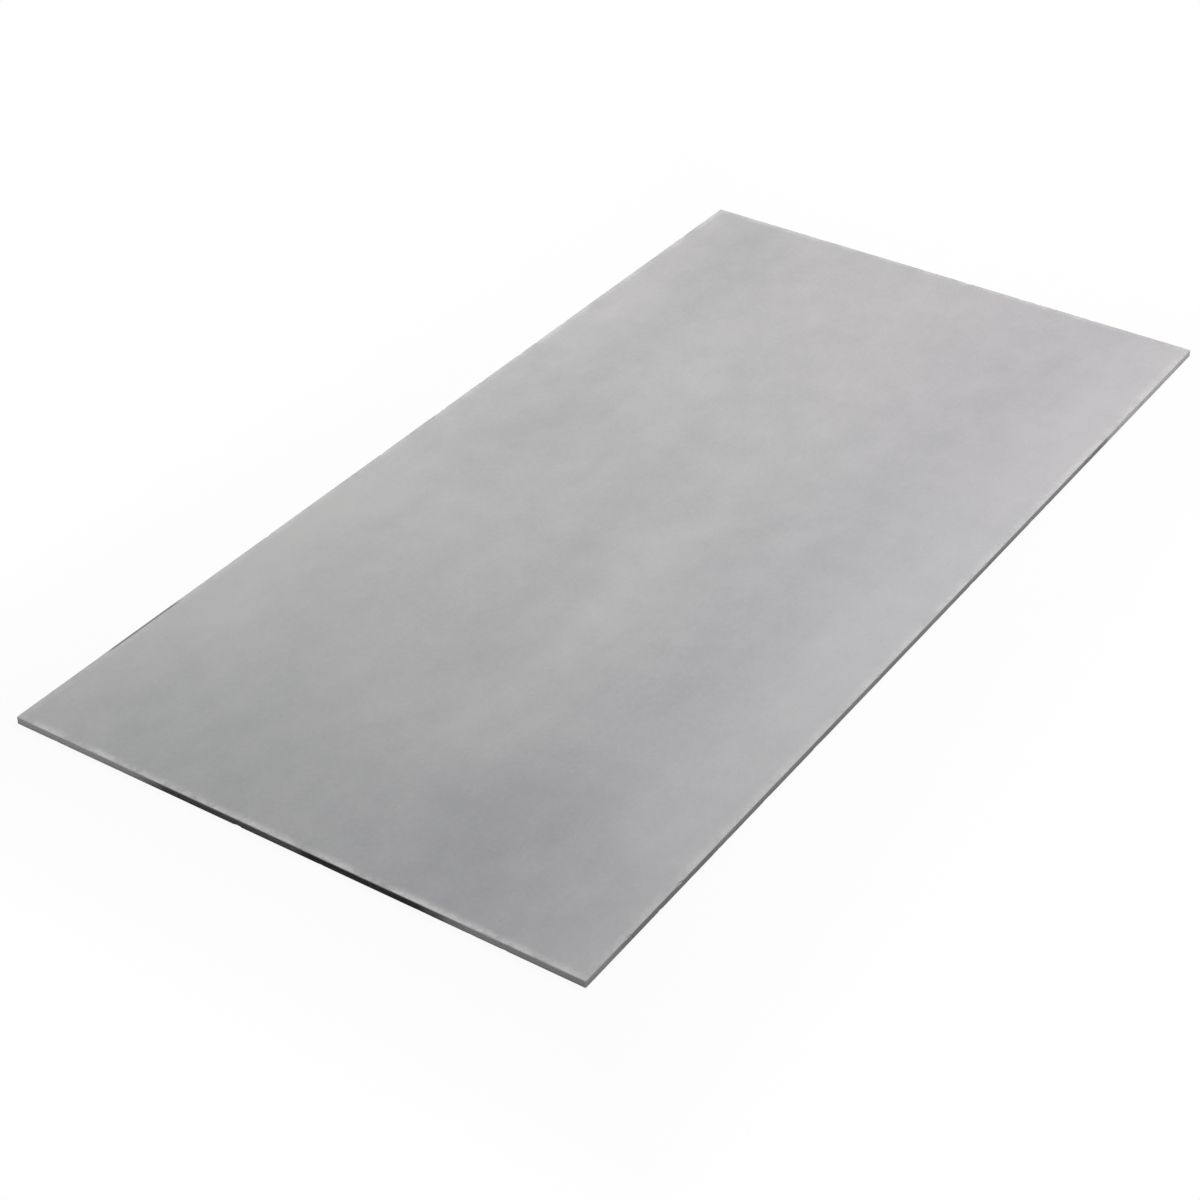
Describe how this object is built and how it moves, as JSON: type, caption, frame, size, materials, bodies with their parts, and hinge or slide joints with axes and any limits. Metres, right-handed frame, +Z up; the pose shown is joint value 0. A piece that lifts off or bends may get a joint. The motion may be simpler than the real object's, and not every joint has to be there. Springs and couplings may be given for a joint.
{
  "type": "cement board",
  "caption": "Flat rectangular sheet of grey fibre cement with square-cut, slightly eased edges, screwed to framing as a lining, backing or flooring board.",
  "frame": {"origin": "centre of the back face, which lies on the floor", "axes": "+Z up through the thickness and out of the smooth face, +Y along the length, X across the width"},
  "size_m": [1.22, 2.44, 0.015],
  "materials": {
    "fibre_cement": "smooth cured cement, matt with a faint sheen, cloudy grey with streaks along the length"
  },
  "bodies": {
    "root": {"cement_board": "fibre_cement"}
  },
  "joints": []
}
